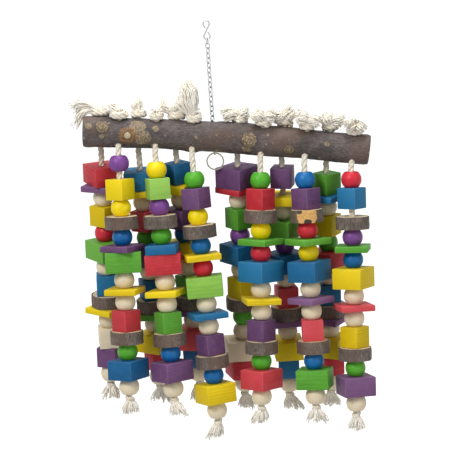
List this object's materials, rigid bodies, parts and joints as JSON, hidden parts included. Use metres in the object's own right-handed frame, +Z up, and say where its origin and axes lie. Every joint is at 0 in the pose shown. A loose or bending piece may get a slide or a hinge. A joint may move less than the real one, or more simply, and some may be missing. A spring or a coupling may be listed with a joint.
{
  "type": "hanging bird chew toy",
  "caption": "Large cage-bird chew toy that hangs by a chain: strings of coloured drilled wooden cubes, plates, beads and bark slices knotted through a barked log.",
  "frame": {"origin": "inside top of the hook's upper loop, where the cage bar or hanging hook bears", "axes": "X along the log, towards its lower end at the picture's right; Y away from the viewer, so the front strings are at -Y; Z up"},
  "size_m": [0.2937, 0.0981, 0.4107],
  "materials": {
    "steel": "bright nickel-plated wire",
    "bark": "natural smooth grey-brown bark",
    "rope": "undyed twisted cotton",
    "bead_wood": "turned wood, plain or dyed green, blue, purple, red or yellow",
    "painted_wood": "sawn pine dyed red, yellow, green, blue or purple, and barked branch slices"
  },
  "bodies": {
    "hook": {"hook": "steel"},
    "link_01": {"chain_link_01": "steel"},
    "link_02": {"chain_link_02": "steel"},
    "link_03": {"chain_link_03": "steel"},
    "link_04": {"chain_link_04": "steel"},
    "link_05": {"chain_link_05": "steel"},
    "link_06": {"chain_link_06": "steel"},
    "link_07": {"chain_link_07": "steel"},
    "link_08": {"chain_link_08": "steel"},
    "link_09": {"chain_link_09": "steel"},
    "link_10": {"chain_link_10": "steel"},
    "link_11": {"chain_link_11": "steel"},
    "link_12": {"chain_link_12": "steel"},
    "link_13": {"chain_link_13": "steel"},
    "link_14": {"chain_link_14": "steel"},
    "link_15": {"chain_link_15": "steel"},
    "link_16": {"chain_link_16": "steel"},
    "link_17": {"chain_link_17": "steel"},
    "log": {"log": "bark", "chain_in_log": "steel", "rope_knots": "rope"},
    "ring": {"split_ring": "steel"},
    "string_01": {"rope_01": "rope", "beads_01": "bead_wood", "blocks_01": "painted_wood"},
    "string_02": {"rope_02": "rope", "beads_02": "bead_wood", "blocks_02": "painted_wood"},
    "string_03": {"rope_03": "rope", "beads_03": "bead_wood", "blocks_03": "painted_wood"},
    "string_04": {"rope_04": "rope", "beads_04": "bead_wood", "blocks_04": "painted_wood"},
    "string_05": {"rope_05": "rope", "beads_05": "bead_wood", "blocks_05": "painted_wood"},
    "string_06": {"rope_06": "rope", "beads_06": "bead_wood", "blocks_06": "painted_wood"},
    "string_07": {"rope_07": "rope", "beads_07": "bead_wood", "blocks_07": "painted_wood"},
    "string_08": {"rope_08": "rope", "beads_08": "bead_wood", "blocks_08": "painted_wood"},
    "string_09": {"rope_09": "rope", "beads_09": "bead_wood", "blocks_09": "painted_wood"},
    "string_10": {"rope_10": "rope", "beads_10": "bead_wood", "blocks_10": "painted_wood"},
    "string_11": {"rope_11": "rope", "beads_11": "bead_wood", "blocks_11": "painted_wood"},
    "string_12": {"rope_12": "rope", "beads_12": "bead_wood", "blocks_12": "painted_wood"}
  },
  "joints": [
    {"name": "link_01_swing", "type": "hinge", "parent": "hook", "child": "link_01", "pos_m": [0, 0, -0.0175], "axis": [1, 0, 0], "range_deg": [-30, 30]},
    {"name": "link_02_swing", "type": "hinge", "parent": "link_01", "child": "link_02", "pos_m": [0, 0, -0.0219], "axis": [-0.309, -0.9511, 0], "range_deg": [-30, 30]},
    {"name": "link_03_swing", "type": "hinge", "parent": "link_02", "child": "link_03", "pos_m": [0, 0, -0.0266], "axis": [-0.891, 0.454, 0], "range_deg": [-30, 30]},
    {"name": "link_04_swing", "type": "hinge", "parent": "link_03", "child": "link_04", "pos_m": [0, 0, -0.0313], "axis": [0.5878, 0.809, 0], "range_deg": [-30, 30]},
    {"name": "link_05_swing", "type": "hinge", "parent": "link_04", "child": "link_05", "pos_m": [0, 0, -0.036], "axis": [0.7071, -0.7071, 0], "range_deg": [-30, 30]},
    {"name": "link_06_swing", "type": "hinge", "parent": "link_05", "child": "link_06", "pos_m": [0, 0, -0.0407], "axis": [-0.7071, -0.7071, 0], "range_deg": [-30, 30]},
    {"name": "link_07_swing", "type": "hinge", "parent": "link_06", "child": "link_07", "pos_m": [0, 0, -0.0454], "axis": [-0.7071, 0.7071, 0], "range_deg": [-30, 30]},
    {"name": "link_08_swing", "type": "hinge", "parent": "link_07", "child": "link_08", "pos_m": [0, 0, -0.0501], "axis": [0.7071, 0.7071, 0], "range_deg": [-30, 30]},
    {"name": "link_09_swing", "type": "hinge", "parent": "link_08", "child": "link_09", "pos_m": [0, 0, -0.0548], "axis": [0.7071, -0.7071, 0], "range_deg": [-30, 30]},
    {"name": "link_10_swing", "type": "hinge", "parent": "link_09", "child": "link_10", "pos_m": [0, 0, -0.0595], "axis": [-0.7071, -0.7071, 0], "range_deg": [-30, 30]},
    {"name": "link_11_swing", "type": "hinge", "parent": "link_10", "child": "link_11", "pos_m": [0, 0, -0.0642], "axis": [-0.7071, 0.7071, 0], "range_deg": [-30, 30]},
    {"name": "link_12_swing", "type": "hinge", "parent": "link_11", "child": "link_12", "pos_m": [0, 0, -0.0689], "axis": [0.7071, 0.7071, 0], "range_deg": [-30, 30]},
    {"name": "link_13_swing", "type": "hinge", "parent": "link_12", "child": "link_13", "pos_m": [0, 0, -0.0736], "axis": [0.7071, -0.7071, 0], "range_deg": [-30, 30]},
    {"name": "link_14_swing", "type": "hinge", "parent": "link_13", "child": "link_14", "pos_m": [0, 0, -0.0783], "axis": [-0.7071, -0.7071, 0], "range_deg": [-30, 30]},
    {"name": "link_15_swing", "type": "hinge", "parent": "link_14", "child": "link_15", "pos_m": [0, 0, -0.083], "axis": [-0.7071, 0.7071, 0], "range_deg": [-30, 30]},
    {"name": "link_16_swing", "type": "hinge", "parent": "link_15", "child": "link_16", "pos_m": [0, 0, -0.0877], "axis": [0.7071, 0.7071, 0], "range_deg": [-30, 30]},
    {"name": "link_17_swing", "type": "hinge", "parent": "link_16", "child": "link_17", "pos_m": [0, 0, -0.0924], "axis": [0.7071, -0.7071, 0], "range_deg": [-30, 30]},
    {"name": "log_swing", "type": "hinge", "parent": "link_17", "child": "log", "pos_m": [0, 0, -0.0971], "axis": [0.7071, 0.7071, 0], "range_deg": [-15, 15]},
    {"name": "ring_swing", "type": "hinge", "parent": "log", "child": "ring", "pos_m": [0, 0, -0.12845], "axis": [1, 0, 0], "range_deg": [-60, 60]},
    {"name": "string_01_swing", "type": "hinge", "parent": "log", "child": "string_01", "pos_m": [-0.11182, 0.0105, -0.11789], "axis": [1, 0, 0], "range_deg": [0, 45]},
    {"name": "string_02_swing", "type": "hinge", "parent": "log", "child": "string_02", "pos_m": [-0.09301, -0.0105, -0.11953], "axis": [-1, 0, 0], "range_deg": [0, 45]},
    {"name": "string_03_swing", "type": "hinge", "parent": "log", "child": "string_03", "pos_m": [-0.07519, 0.0105, -0.12119], "axis": [1, 0, 0], "range_deg": [0, 45]},
    {"name": "string_04_swing", "type": "hinge", "parent": "log", "child": "string_04", "pos_m": [-0.05739, -0.0105, -0.12297], "axis": [-1, 0, 0], "range_deg": [0, 45]},
    {"name": "string_05_swing", "type": "hinge", "parent": "log", "child": "string_05", "pos_m": [-0.03861, 0.0105, -0.12496], "axis": [1, 0, 0], "range_deg": [0, 45]},
    {"name": "string_06_swing", "type": "hinge", "parent": "log", "child": "string_06", "pos_m": [-0.02181, -0.0105, -0.12686], "axis": [-1, 0, 0], "range_deg": [0, 45]},
    {"name": "string_07_swing", "type": "hinge", "parent": "log", "child": "string_07", "pos_m": [0.02159, 0.0105, -0.13222], "axis": [1, 0, 0], "range_deg": [0, 45]},
    {"name": "string_08_swing", "type": "hinge", "parent": "log", "child": "string_08", "pos_m": [0.04425, -0.0105, -0.13528], "axis": [-1, 0, 0], "range_deg": [0, 45]},
    {"name": "string_09_swing", "type": "hinge", "parent": "log", "child": "string_09", "pos_m": [0.06492, 0.0105, -0.13825], "axis": [1, 0, 0], "range_deg": [0, 45]},
    {"name": "string_10_swing", "type": "hinge", "parent": "log", "child": "string_10", "pos_m": [0.08654, -0.0105, -0.14151], "axis": [-1, 0, 0], "range_deg": [0, 45]},
    {"name": "string_11_swing", "type": "hinge", "parent": "log", "child": "string_11", "pos_m": [0.10814, 0.0105, -0.14494], "axis": [1, 0, 0], "range_deg": [0, 45]},
    {"name": "string_12_swing", "type": "hinge", "parent": "log", "child": "string_12", "pos_m": [0.13167, -0.0105, -0.14887], "axis": [-1, 0, 0], "range_deg": [0, 45]}
  ]
}
